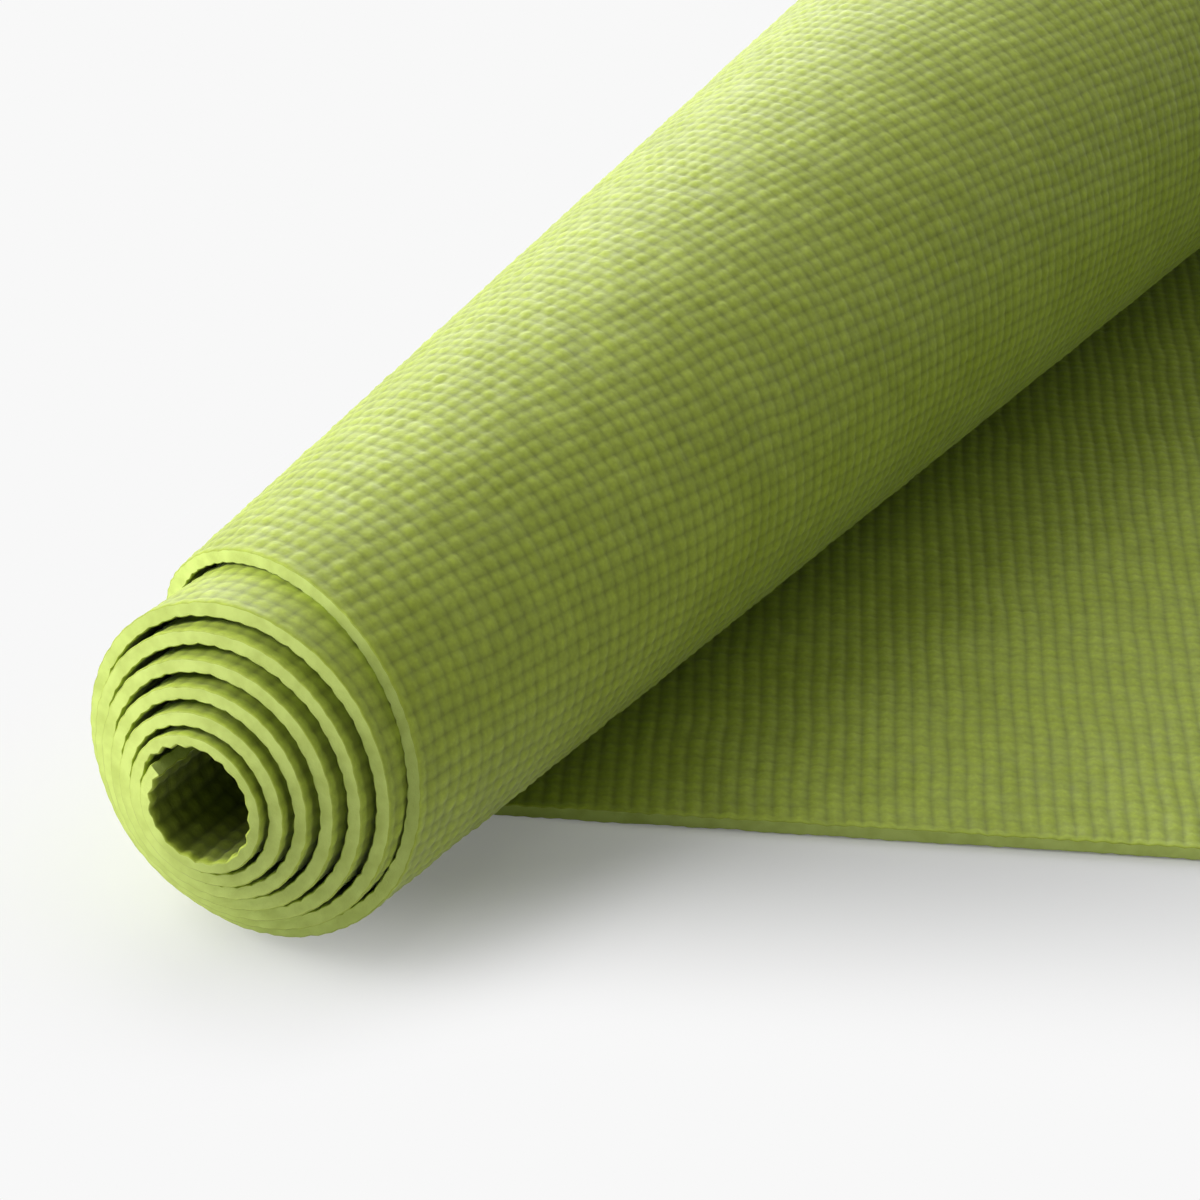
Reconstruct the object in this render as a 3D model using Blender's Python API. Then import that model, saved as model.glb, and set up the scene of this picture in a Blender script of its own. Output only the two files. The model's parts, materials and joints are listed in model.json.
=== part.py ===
"""Yoga mat, partly unrolled.

The mat is one long sheet of three bonded plies: foam, a thin woven scrim and foam.
Most of it is wound into a tight roll that lies along +Y. The last turn opens toward
the far end like a cone, because the mat was unrolled at an angle to the roll, and from
there the sheet runs out flat on the floor toward +X. The free end of the flat part
lifts, and the bend that it lifts about is where the sheet is divided.

A ruling is a straight line across the sheet. The sheet bends only along its rulings, so
each ply is lofted from ruling to ruling, and its long edges stay straight in the sheet.
"""

import functools
import math

import bmesh
import bpy
from mathutils import Matrix, Vector

# The sheet, in metres
MAT_LENGTH = 1.730
MAT_WIDTH = 0.610
FOAM_THICKNESS = 0.00105
SCRIM_THICKNESS = 0.00025

# Clearances between surfaces that touch, in metres
PLY_CLEARANCE = 0.0003
TURN_CLEARANCE = 0.0003
BEND_CLEARANCE = 0.0003

# How far the mat is unrolled along its middle, how tightly the rest is wound, and how
# far the free end's bend stays clear of the roll, in metres
UNROLLED_LENGTH = 0.5864
BORE_END_RADIUS = 0.0078
FLANK_CLEARANCE = 0.016

# How the sheet is wound
WRAP_HALF_ANGLE = math.radians(3.57)
SHEET_SKEW = math.radians(24.7)
TIGHT_SKEW = math.radians(1.08)
STEPS_PER_TURN = 36

# Worked out from the sizes above
SHEET_THICKNESS = 2 * FOAM_THICKNESS + SCRIM_THICKNESS + 2 * PLY_CLEARANCE
TURN_PITCH = SHEET_THICKNESS + TURN_CLEARANCE
FULL_TURN = 2 * math.pi
SLANT_TO_RADIUS = math.sin(WRAP_HALF_ANGLE)
WRAP_SWEEP = FULL_TURN * SLANT_TO_RADIUS

# Directions in the floor: along the mat's length and across its width
ALONG = Vector((math.cos(SHEET_SKEW), math.sin(SHEET_SKEW), 0))
ACROSS = Vector((-math.sin(SHEET_SKEW), math.cos(SHEET_SKEW), 0))
UP = Vector((0, 0, 1))

# Axis of the cone that the outer wrap follows, and the upward direction square to it
WRAP_AXIS = Vector((0, math.cos(WRAP_HALF_ANGLE), math.sin(WRAP_HALF_ANGLE)))
WRAP_UP = Vector((0, -math.sin(WRAP_HALF_ANGLE), math.cos(WRAP_HALF_ANGLE)))
LEFT = Vector((-1, 0, 0))

# Each ply's name, its lower face's height above the sheet's underside, and its thickness
PLIES = (
    ("underside_foam", 0, FOAM_THICKNESS),
    ("scrim", FOAM_THICKNESS + PLY_CLEARANCE, SCRIM_THICKNESS),
    ("topside_foam", FOAM_THICKNESS + SCRIM_THICKNESS + 2 * PLY_CLEARANCE, FOAM_THICKNESS),
)

FOAM_COLOUR = (0.305, 0.402, 0.080, 1)
FOAM_ROUGHNESS = 0.62
SCRIM_COLOUR = (0.62, 0.66, 0.50, 1)
SCRIM_ROUGHNESS = 0.85
SHARP_EDGE_ANGLE = math.radians(40)

HALVINGS = 60
MILLIMETRE = 0.001


class Ruling:
    """A straight line across the sheet's underside, with the direction into the sheet."""

    def __init__(self, near, far, inward):
        self.near = near
        self.far = far
        self.inward = inward

    def raised(self, height):
        """The two ends of the ruling, at a height above the sheet's underside."""
        return self.near + self.inward * height, self.far + self.inward * height


def clear_scene():
    for obj in list(bpy.data.objects):
        bpy.data.objects.remove(obj, do_unlink=True)


def edge_slant(distance, turn_angle):
    """Slant distance from the apex at which the wrap meets a line along the mat.

    The line is straight in the flat sheet, at a distance from the cone's apex.
    """
    return distance / math.cos(SHEET_SKEW - turn_angle * SLANT_TO_RADIUS)


def tight_radius(edge_distance):
    """Radius of the tight roll where the outer wrap ends, so that it fits in the wrap."""
    steps = range(STEPS_PER_TURN + 1)
    slants = [edge_slant(edge_distance, FULL_TURN * i / STEPS_PER_TURN) for i in steps]
    return min(slants) * SLANT_TO_RADIUS - TURN_PITCH


def tight_turns(radius):
    """How many turns the tight roll has, from its outer radius down to its bore."""
    return (radius - SHEET_THICKNESS - BORE_END_RADIUS) / TURN_PITCH


def tight_length(radius, angle):
    """Length of sheet wound in the tight roll's first turns, along its middle."""
    start = radius - SHEET_THICKNESS / 2
    return start * angle - TURN_PITCH * angle ** 2 / (2 * FULL_TURN)


def wound_length(edge_distance):
    """Length of sheet in the outer wrap and the tight roll, along its middle."""
    middle = edge_distance + MAT_WIDTH / 2
    wrap = middle * (math.tan(SHEET_SKEW) - math.tan(SHEET_SKEW - WRAP_SWEEP))
    radius = tight_radius(edge_distance)
    return wrap + tight_length(radius, tight_turns(radius) * FULL_TURN)


@functools.cache
def edge_to_apex():
    """Distance from the cone's apex to the mat's near long edge.

    It sets the roll's size, and it is found by halving, so that the roll takes up just
    the length of mat that isn't unrolled.
    """
    least = BORE_END_RADIUS / SLANT_TO_RADIUS
    most = least + MAT_LENGTH / SLANT_TO_RADIUS
    for _ in range(HALVINGS):
        middle = (least + most) / 2
        if wound_length(middle) < MAT_LENGTH - UNROLLED_LENGTH:
            least = middle
        else:
            most = middle
    return most


def wrap_ruling(turn_angle):
    """A ruling of the outer wrap, with the turn angle counted from the floor.

    The wrap's radius shrinks by one pitch in its turn, so that it ends above its start.
    """
    outward = -math.cos(turn_angle) * WRAP_UP + math.sin(turn_angle) * LEFT
    inward = -math.cos(WRAP_HALF_ANGLE) * outward + SLANT_TO_RADIUS * WRAP_AXIS
    ends = []
    for edge_distance in (edge_to_apex(), edge_to_apex() + MAT_WIDTH):
        slant = edge_slant(edge_distance, turn_angle)
        radius = slant * SLANT_TO_RADIUS - TURN_PITCH * turn_angle / FULL_TURN
        ends.append(slant * math.cos(WRAP_HALF_ANGLE) * WRAP_AXIS + radius * outward)
    return Ruling(ends[0], ends[1], inward)


def tight_ruling(angle):
    """A ruling of the tight roll, which goes on from where the outer wrap ends.

    Each turn stands out a little further than the one around it, toward the near end.
    """
    wrap_end = wrap_ruling(FULL_TURN)
    outer_radius = tight_radius(edge_to_apex())
    centre_height = wrap_end.near.z + outer_radius
    radius = outer_radius - TURN_PITCH * angle / FULL_TURN
    offset = Vector((-radius * math.sin(angle), 0, centre_height - radius * math.cos(angle)))
    slide = tight_length(outer_radius, angle) * math.tan(TIGHT_SKEW)
    near = offset + Vector((0, wrap_end.near.y - slide, 0))
    far = offset + Vector((0, wrap_end.far.y - slide, 0))
    return Ruling(near, far, Vector((math.sin(angle), 0, math.cos(angle))))


def flat_ruling(distance):
    """A line straight across the flat part, at a distance along the mat from the apex."""
    near = distance * ALONG + edge_to_apex() * ACROSS
    return Ruling(near, near + MAT_WIDTH * ACROSS, UP)


def bend_distance():
    """Where the free end bends: the first line across the mat that clears the roll."""
    far_edge = edge_to_apex() + MAT_WIDTH
    flank = edge_slant(far_edge, 0) * SLANT_TO_RADIUS
    reach = far_edge * math.sin(SHEET_SKEW)
    return (flank + FLANK_CLEARANCE + reach) / math.cos(SHEET_SKEW)


def free_edge_distance():
    """Where the mat's free short edge lies."""
    middle = edge_to_apex() + MAT_WIDTH / 2
    return middle * math.tan(SHEET_SKEW) + UNROLLED_LENGTH


def rolled_rulings():
    """Rulings of the rolled part, from the bore out and over the floor to the bend."""
    end_angle = tight_turns(tight_radius(edge_to_apex())) * FULL_TURN
    step = FULL_TURN / STEPS_PER_TURN
    whole_steps = math.ceil(end_angle / step) - 1
    tight = [tight_ruling(end_angle)]
    tight += [tight_ruling(step * i) for i in range(whole_steps, 0, -1)]
    wrap = [wrap_ruling(step * i) for i in range(STEPS_PER_TURN, -1, -1)]
    return tight + wrap + [flat_ruling(bend_distance() - BEND_CLEARANCE / 2)]


def free_end_rulings():
    """Rulings of the free end, from the bend to the mat's short edge."""
    start = bend_distance() + BEND_CLEARANCE / 2
    return [flat_ruling(start), flat_ruling(free_edge_distance())]


def loft_ply(rulings, base, thickness):
    """The corner points and faces of one ply, lofted through the rulings."""
    points = []
    for ruling in rulings:
        lower_near, lower_far = ruling.raised(base)
        upper_near, upper_far = ruling.raised(base + thickness)
        points += [lower_near, lower_far, upper_far, upper_near]
    faces = [(0, 1, 2, 3)]
    for start in range(0, len(points) - 4, 4):
        for corner in range(4):
            following = (corner + 1) % 4
            faces.append((start + corner, start + 4 + corner,
                          start + 4 + following, start + following))
    last = len(points) - 4
    faces.append((last + 3, last + 2, last + 1, last))
    return points, faces


def ply_material(name, colour, roughness):
    material = bpy.data.materials.new(name)
    material.use_nodes = True
    shader = material.node_tree.nodes["Principled BSDF"]
    shader.inputs["Base Color"].default_value = colour
    shader.inputs["Roughness"].default_value = roughness
    shader.inputs["Metallic"].default_value = 0
    return material


def add_ply(name, points, faces, material, parent):
    """One closed solid, with its faces turned outward, under its parent if it has one."""
    mesh = bpy.data.meshes.new(name)
    mesh.from_pydata(points, [], faces)
    shell = bmesh.new()
    shell.from_mesh(mesh)
    bmesh.ops.recalc_face_normals(shell, faces=shell.faces)
    shell.to_mesh(mesh)
    shell.free()
    mesh.shade_smooth()
    mesh.set_sharp_from_angle(angle=SHARP_EDGE_ANGLE)
    mesh.materials.append(material)
    obj = bpy.data.objects.new(name, mesh)
    bpy.context.collection.objects.link(obj)
    if parent:
        mesh.transform(parent.matrix_world.inverted())
        obj.parent = parent
    return obj


def base_centre(plies):
    """The middle of the whole mat's outline, at floor level."""
    points = [point for _, points, _ in plies for point in points]
    low = Vector(min(point[i] for point in points) for i in range(3))
    high = Vector(max(point[i] for point in points) for i in range(3))
    return Vector(((low.x + high.x) / 2, (low.y + high.y) / 2, low.z))


def add_bend_axis(origin):
    """An empty on the line that the free end lifts about, in the sheet's upper face."""
    ruling = flat_ruling(bend_distance())
    near, far = ruling.raised(SHEET_THICKNESS)
    axis = bpy.data.objects.new("free_end_bend_axis", None)
    bpy.context.collection.objects.link(axis)
    turn = Matrix((ALONG, ACROSS, UP)).transposed().to_4x4()
    axis.matrix_world = Matrix.Translation((near + far) / 2 - origin) @ turn
    bpy.context.view_layer.update()
    return axis


def build_mat():
    """All the plies, moved so that the origin is the middle of the base."""
    clear_scene()
    parts = (("rolled", rolled_rulings()), ("free_end", free_end_rulings()))
    plies = []
    for part, rulings in parts:
        for ply, base, thickness in PLIES:
            points, faces = loft_ply(rulings, base, thickness)
            plies.append((part + "_" + ply, points, faces))
    origin = base_centre(plies)
    bend_axis = add_bend_axis(origin)
    foam = ply_material("pvc_foam", FOAM_COLOUR, FOAM_ROUGHNESS)
    scrim = ply_material("scrim_cloth", SCRIM_COLOUR, SCRIM_ROUGHNESS)
    for name, points, faces in plies:
        moved = [point - origin for point in points]
        material = scrim if name.endswith("scrim") else foam
        parent = bend_axis if name.startswith("free_end") else None
        add_ply(name, moved, faces, material, parent)
    return origin


def least_turn_gap():
    """The least clearance between one turn and the next, measured ruling by ruling."""
    gaps = []
    rulings = rolled_rulings()[:-1]
    for outer, inner in zip(rulings[STEPS_PER_TURN:], rulings):
        upper_near, upper_far = outer.raised(SHEET_THICKNESS)
        for upper, lower in ((upper_near, inner.near), (upper_far, inner.far)):
            apart = lower - upper
            gaps.append(apart.dot(outer.inward))
    return min(gaps)


mat_origin = build_mat()
print("turns in the tight roll: %.2f" % tight_turns(tight_radius(edge_to_apex())))
print("least gap between turns: %.2f mm" % (least_turn_gap() / MILLIMETRE))
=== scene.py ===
import json
import math

import bpy
import numpy as np
from mathutils import Matrix, Vector


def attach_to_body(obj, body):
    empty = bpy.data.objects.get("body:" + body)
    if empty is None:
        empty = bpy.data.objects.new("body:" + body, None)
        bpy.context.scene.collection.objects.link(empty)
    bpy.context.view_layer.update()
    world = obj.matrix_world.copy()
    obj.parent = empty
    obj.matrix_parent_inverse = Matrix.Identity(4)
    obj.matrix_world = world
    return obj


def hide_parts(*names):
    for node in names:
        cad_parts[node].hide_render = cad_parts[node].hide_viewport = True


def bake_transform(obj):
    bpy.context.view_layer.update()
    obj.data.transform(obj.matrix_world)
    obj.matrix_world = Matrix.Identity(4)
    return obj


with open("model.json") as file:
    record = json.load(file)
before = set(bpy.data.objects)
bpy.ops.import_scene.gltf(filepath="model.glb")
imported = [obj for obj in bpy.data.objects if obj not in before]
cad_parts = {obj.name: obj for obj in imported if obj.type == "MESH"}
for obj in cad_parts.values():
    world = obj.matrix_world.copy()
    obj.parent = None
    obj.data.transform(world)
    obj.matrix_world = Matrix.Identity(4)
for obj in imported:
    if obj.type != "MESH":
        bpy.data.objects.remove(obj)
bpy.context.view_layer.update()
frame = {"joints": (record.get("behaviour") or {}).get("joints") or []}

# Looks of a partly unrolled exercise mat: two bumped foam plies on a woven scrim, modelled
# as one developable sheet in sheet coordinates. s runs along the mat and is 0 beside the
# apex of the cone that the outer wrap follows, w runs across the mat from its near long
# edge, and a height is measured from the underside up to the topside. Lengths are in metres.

MM = 0.001

# The sheet and its winding, as the solids have them
MAT_WIDTH = 0.610
CAD_THICKNESS = 2.95 * MM
TURN_PITCH = 3.25 * MM
EDGE_TO_APEX = 0.5558823
WRAP_HALF_ANGLE = math.radians(3.57)
SHEET_SKEW = math.radians(24.7)
TIGHT_SKEW = math.radians(1.08)
TIGHT_LENGTH = 0.781967
BEND_S = 0.641812
FREE_END_LENGTH = 0.340550

# Worked out from them
FULL_TURN = 2 * math.pi
SLANT_TO_RADIUS = math.sin(WRAP_HALF_ANGLE)
SLANT_TO_AXIS = math.cos(WRAP_HALF_ANGLE)
WRAP_SWEEP = FULL_TURN * SLANT_TO_RADIUS
END_SKEW = SHEET_SKEW - WRAP_SWEEP
TIGHT_RADIUS = EDGE_TO_APEX / math.cos(END_SKEW) * SLANT_TO_RADIUS - TURN_PITCH
WRAP_END_S = EDGE_TO_APEX * math.tan(END_SKEW)
INNER_END_S = WRAP_END_S - TIGHT_LENGTH
FREE_END_S = BEND_S + FREE_END_LENGTH
ALONG = np.array((math.cos(SHEET_SKEW), math.sin(SHEET_SKEW), 0))
ACROSS = np.array((-math.sin(SHEET_SKEW), math.cos(SHEET_SKEW), 0))

# How the real sheet departs from the even one: it is fuller than the solids where it is
# wound and fuller still where it lies free, the outer turns of the tight roll are looser
# than the inner ones, and each turn is sunk a little to the lower left in the one around it
ROLLED_LOW = -0.19 * MM
ROLLED_HIGH = 3.10 * MM
FREE_HIGH = 3.30 * MM
SWELL_FROM = 8 * MM
SWELL_TO = 30 * MM
LIFT_OFF = -14 * MM
SAG_PER_TURN = 0.20 * MM
SAG_DIRECTION = (-0.83, 0, -0.55)
LOOSE = 1.40 * MM
LOOSE_START_TURNS = (0, 0.3)
LOOSE_END_TURNS = (-1.0, 5.5)

# The lattice of bumps, which sways a little away from the cut edges
ROW_PITCH = 3.295 * MM
COLUMN_COUNT = 180
COLUMN_PITCH = MAT_WIDTH / COLUMN_COUNT
COLUMN_SHIFT = 0.25
COLUMN_START = COLUMN_SHIFT * COLUMN_PITCH
LATTICE_SWAY = 0.45 * MM
SWAY_FADE = 8 * MM

# Depths of its grooves, and of what makes its bumps uneven
ROW_GROOVE = {"underside": 0.36 * MM, "topside": 0.52 * MM}
COLUMN_GROOVE = {"underside": 0.44 * MM, "topside": 0.28 * MM}
GROOVE_POWER = 1.2
CROSSING_RISE = 0.4
BUMP_SPREAD = 0.26 * MM
DENT_DEPTH = 0.20 * MM
GRAIN_DEPTH = 0.16 * MM
WAVE_DEPTH = 0.05 * MM
PATCHINESS = 0.40
EDGE_RELIEF = 0.75
EDGE_FADE = 3 * MM
BORE_RELIEF = 1.35
DEEPEST_PIT = 1.15 * MM

# Painted shade in the grooves, as tones where 1 is the tone of a pit in which two grooves cross:
# the tones of a single groove and of a groove along the mat, and what changes them. The tone also
# differs at random from bump to bump and with the dents.
GROOVE_SHADE = {"underside": 0.6, "topside": 0.8}
COLUMN_SHADE = {"underside": 0.9, "topside": 0.6}
TONE_SPREAD = 0.40
DENT_TONE = 0.1
# Share of the painted groove shade kept at a cut edge, so that the strips beside the cut edges are
# painted paler
EDGE_SHADE_KEPT = 0.35
# Painted shade in the bore, and the distances from the cut end over which it rises
BORE_SHADE = 1.0
BORE_SHADE_REACH = (0, 4 * MM)

# Sizes of the cells of each noise, and how many more its table has than the sheet needs
WAVE_SIZE = 22 * MM
ROW_SWAY_SIZE = 13 * MM
COLUMN_SWAY_SIZE = 10 * MM
PATCH_SIZE = 6 * MM
DENT_SIZE = 2.3 * MM
GRAIN_SIZE = 1.15 * MM
SPARE_CELLS = 4
TINY = 0.001

# Cut edges
RIM_RADIUS = 0.20 * MM
RIM_ANGLES = (0, 45, 90)
SCRIM_INSET = 2 * MM
SCRIM_HALF = 0.13 * MM
PLY_GAP = 0.02 * MM
COLLAR = 1.3 * MM
EDGE_LEAN = 0.25 * MM
LEAN_FADE = 6 * MM
EDGE_TURN = math.radians(20)
WRAP_EDGE_TURN = math.radians(18)
WRAP_EDGE_FROM = (-0.02, 0.05)

# Samples for each bump: many where the photograph's camera sees it, and few in a hidden place
CLOSE = 4
DISTANT = 3
COARSE = 1 / 8
LEAST_STEP_SHARE = 0.3
DIGITS = 7
MOST_TRIANGLES = 190000
HIDDEN_COLUMNS = 32

# Zones across the mat, each with a start, an end and the samples for each bump
NEAR_STRIP = 0.035
FAR_STRIP = MAT_WIDTH - NEAR_STRIP
MOUTH_START = 0.17
IN_VIEW_WIDTH = 0.43
FOOT_MARGIN = 0.02
COARSELY = [(0, MAT_WIDTH, COARSE)]
EVERYWHERE = [(0, MAT_WIDTH, DISTANT)]
EDGES = [(0, NEAR_STRIP, DISTANT), (FAR_STRIP, MAT_WIDTH, DISTANT)]
MOUTH = [(0, NEAR_STRIP, DISTANT), (MOUTH_START, MAT_WIDTH, DISTANT)]
BORE_VIEW = [(0, NEAR_STRIP, CLOSE), (NEAR_STRIP, MAT_WIDTH, DISTANT)]
IN_VIEW = [(0, IN_VIEW_WIDTH, CLOSE), (IN_VIEW_WIDTH, MAT_WIDTH, DISTANT)]

# Parts of the map for baked colours: the bumped face, then the walls, then the hidden faces
FACE_MARGIN = 0.005
FACE_WIDTH = 0.9
STRIP_MARGIN = 0.01
WALLS_AT = 0.92
WALL_STEP = 0.02
WALL_WIDTH = 0.015
HIDDEN_AT = 0.965
HIDDEN_WIDTH = 0.03
SHORTEST_STRETCH = 0.02

# Photograph's camera
CAMERA_LENS = 114.11
CAMERA_SENSOR = 36
CAMERA_TARGET = Vector((-0.303804, -0.297324, 0))
CAMERA_DISTANCE = 0.788225
CAMERA_ELEVATION = math.radians(26.585)
CAMERA_AZIMUTH = math.radians(27.090)
CAMERA_ROLL = math.radians(2.435)


def on_row(distance):
    """The row of the lattice nearest to a distance along the mat."""
    return round(distance / ROW_PITCH) * ROW_PITCH


# Where the stretches of the foam plies meet, along the mat
BORE_S = on_row(-0.69)
FIRST_TURN_S = on_row(-0.19)
WRAP_S = on_row(0.02)
TOUCH_S = on_row(0.256)
VIEW_END_S = on_row(0.44)
FOOT_S = on_row(0.545)
BEND_STRIP = 0.020
BEND_END_S = on_row(BEND_S + BEND_STRIP)

# Each stretch of a foam ply: its name, its start and end, the samples for each bump along
# it, and the zones across it, or None where they follow the line at which it meets the floor
STRETCHES = {
    "underside": (
        ("inner_turns", INNER_END_S, FIRST_TURN_S, DISTANT, EDGES),
        ("first_turn", FIRST_TURN_S, WRAP_S, DISTANT, MOUTH),
        ("wrap", WRAP_S, TOUCH_S, CLOSE, IN_VIEW),
        ("wrap_foot", TOUCH_S, FOOT_S, CLOSE, None),
        ("base", FOOT_S, BEND_S, DISTANT, EDGES),
        ("bend", BEND_S, BEND_END_S, DISTANT, EVERYWHERE),
        ("free_end", BEND_END_S, FREE_END_S, DISTANT, EVERYWHERE),
    ),
    "topside": (
        ("bore_turn", INNER_END_S, BORE_S, CLOSE, BORE_VIEW),
        ("inner_turns", BORE_S, WRAP_S, DISTANT, EDGES),
        ("wrap", WRAP_S, TOUCH_S, DISTANT, MOUTH),
        ("flat_near", TOUCH_S, VIEW_END_S, CLOSE, IN_VIEW),
        ("flat", VIEW_END_S, BEND_S, DISTANT, EVERYWHERE),
        ("bend", BEND_S, BEND_END_S, DISTANT, EVERYWHERE),
        ("free_end", BEND_END_S, FREE_END_S, DISTANT, EVERYWHERE),
    ),
}

# Each stretch of the scrim: its name, its start and end, and the samples for each bump
SCRIM_STRETCHES = (
    ("scrim_rolled", INNER_END_S + SCRIM_INSET, BEND_S, 2),
    ("scrim_bend", BEND_S, BEND_END_S, DISTANT),
    ("scrim_free_end", BEND_END_S, FREE_END_S - SCRIM_INSET, 1),
)


def apex():
    """The cone's apex on the floor, found from the middle of the free end's bend line."""
    middle = np.array(frame["joints"][0]["pos_m"])
    bend = BEND_S * ALONG + (EDGE_TO_APEX + MAT_WIDTH / 2) * ACROSS
    return middle - bend - np.array((0, 0, CAD_THICKNESS))


APEX = apex()


def smoothstep(value, start, stop):
    """A share that rises smoothly from 0 at the start to 1 at the stop."""
    share = np.clip((value - start) / (stop - start), 0, 1)
    return share * share * (3 - 2 * share)


def smooth_noise(seed, size):
    """Smooth noise from -1 to 1 over the sheet, as a function of s and w."""
    rows = int((FREE_END_S - INNER_END_S) / size) + SPARE_CELLS
    columns = int(MAT_WIDTH / size) + SPARE_CELLS
    table = np.random.default_rng(seed).uniform(-1, 1, (rows, columns))

    def value(s, w):
        row = np.clip((s - INNER_END_S) / size + 1, 0, rows - 1 - TINY)
        column = np.clip(w / size + 1, 0, columns - 1 - TINY)
        i, j = row.astype(int), column.astype(int)
        u, v = row - i, column - j
        u, v = u * u * (3 - 2 * u), v * v * (3 - 2 * v)
        low = table[i, j] * (1 - v) + table[i, j + 1] * v
        high = table[i + 1, j] * (1 - v) + table[i + 1, j + 1] * v
        return low * (1 - u) + high * u

    return value


def bump_noise(seed):
    """One value from 0 to 1 for each bump of the lattice, as a function of s and w."""
    first_row = math.floor(INNER_END_S / ROW_PITCH) - 1
    rows = int((FREE_END_S - INNER_END_S) / ROW_PITCH) + SPARE_CELLS
    columns = int(MAT_WIDTH / COLUMN_PITCH) + SPARE_CELLS
    table = np.random.default_rng(seed).random((rows, columns))

    def value(s, w):
        i = np.floor(s / ROW_PITCH).astype(int) - first_row
        j = np.floor(w / COLUMN_PITCH + COLUMN_SHIFT).astype(int) + 1
        return table[np.clip(i, 0, rows - 1), np.clip(j, 0, columns - 1)]

    return value


# Noises, each from a seed of its own
WAVES = smooth_noise(11, WAVE_SIZE)
ROW_SWAY = smooth_noise(12, ROW_SWAY_SIZE)
COLUMN_SWAY = smooth_noise(13, COLUMN_SWAY_SIZE)
PATCHES = smooth_noise(20, PATCH_SIZE)
GRAIN = {"underside": smooth_noise(14, GRAIN_SIZE), "topside": smooth_noise(15, GRAIN_SIZE)}
DENTS = {"underside": smooth_noise(16, DENT_SIZE), "topside": smooth_noise(17, DENT_SIZE)}
BUMPS = {"underside": bump_noise(18), "topside": bump_noise(19)}


def to_share(noise):
    """Turns a noise from -1 to 1 into a share from 0 to 1."""
    return 0.5 + 0.5 * noise


def groove(pitches):
    """A groove's share of its depth, which is 1 at each whole number of pitches."""
    return to_share(np.cos(FULL_TURN * pitches)) ** GROOVE_POWER


def grooves(s, w):
    """The shares of the grooves that run across the mat and along it."""
    return groove(s / ROW_PITCH), groove(w / COLUMN_PITCH + COLUMN_SHIFT)


def to_cut(s, w):
    """Distance from the nearest cut edge of the mat."""
    across = np.minimum(w, MAT_WIDTH - w)
    along = np.minimum(s - INNER_END_S, FREE_END_S - s)
    return np.maximum(np.minimum(across, along), 0)


def relief(face, s, w):
    """How deep a face of the sheet lies below the tops of its bumps."""
    across, along = grooves(s, w)
    column_groove = np.where(s < BORE_S, COLUMN_GROOVE["underside"], COLUMN_GROOVE[face])
    depth = ROW_GROOVE[face] * across + column_groove * along * (1 - CROSSING_RISE * across)
    top = (1 - across) * (1 - along)
    depth = depth + BUMP_SPREAD * BUMPS[face](s, w) * top
    depth = depth + DENT_DEPTH * to_share(DENTS[face](s, w))
    depth = depth + GRAIN_DEPTH * to_share(GRAIN[face](s, w))
    depth = depth + WAVE_DEPTH * to_share(WAVES(s, w))
    fade = EDGE_RELIEF + (1 - EDGE_RELIEF) * smoothstep(to_cut(s, w), 0, EDGE_FADE)
    fade = fade * (1 - PATCHINESS * to_share(PATCHES(s, w)))
    if face == "topside":
        fade = np.where(s < BORE_S, BORE_RELIEF, fade)
    return np.minimum(depth * fade, DEEPEST_PIT)


def painted_shade_and_tone(face, s, w):
    """Painted shade of a face: about 0 on a bump, 1 in a pit, and weaker beside a cut edge, with
    tone that differs at random from bump to bump and with the dents.
    """
    across, along = grooves(s, w)
    along = COLUMN_SHADE[face] * along
    single = GROOVE_SHADE[face]
    tone = single * np.maximum(across, along) + (1 - single) * across * along
    tone = tone * (EDGE_SHADE_KEPT + (1 - EDGE_SHADE_KEPT) * smoothstep(to_cut(s, w), 0, EDGE_FADE))
    tone = tone + TONE_SPREAD * (BUMPS[face](s, w) - 0.5) * (1 - tone)
    return tone + DENT_TONE * DENTS[face](s, w)


def rim_drop(distance):
    """How far a face falls off toward a cut edge, along a quarter circle."""
    short = 1 - np.clip(distance / RIM_RADIUS, 0, 1)
    return RIM_RADIUS * (1 - np.sqrt(1 - short * short))


def stacked(x, y, z):
    """Points from their coordinates."""
    return np.stack(np.broadcast_arrays(x, y, z), axis=-1)


def wrap_place(x, y, swing, height):
    """Points of the conical outer wrap. swing is the angle in the flat sheet."""
    turn = np.clip(swing, 0, WRAP_SWEEP) / SLANT_TO_RADIUS
    slant = np.hypot(x, y)
    radius = slant * SLANT_TO_RADIUS - TURN_PITCH * turn / FULL_TURN
    outward = stacked(-np.sin(turn), np.cos(turn) * SLANT_TO_RADIUS,
                      -np.cos(turn) * SLANT_TO_AXIS)
    axis = np.array((0, SLANT_TO_AXIS, SLANT_TO_RADIUS))
    inward = SLANT_TO_RADIUS * axis - SLANT_TO_AXIS * outward
    middle = (slant * SLANT_TO_AXIS)[..., None] * axis
    return middle + radius[..., None] * outward + height[..., None] * inward


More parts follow.
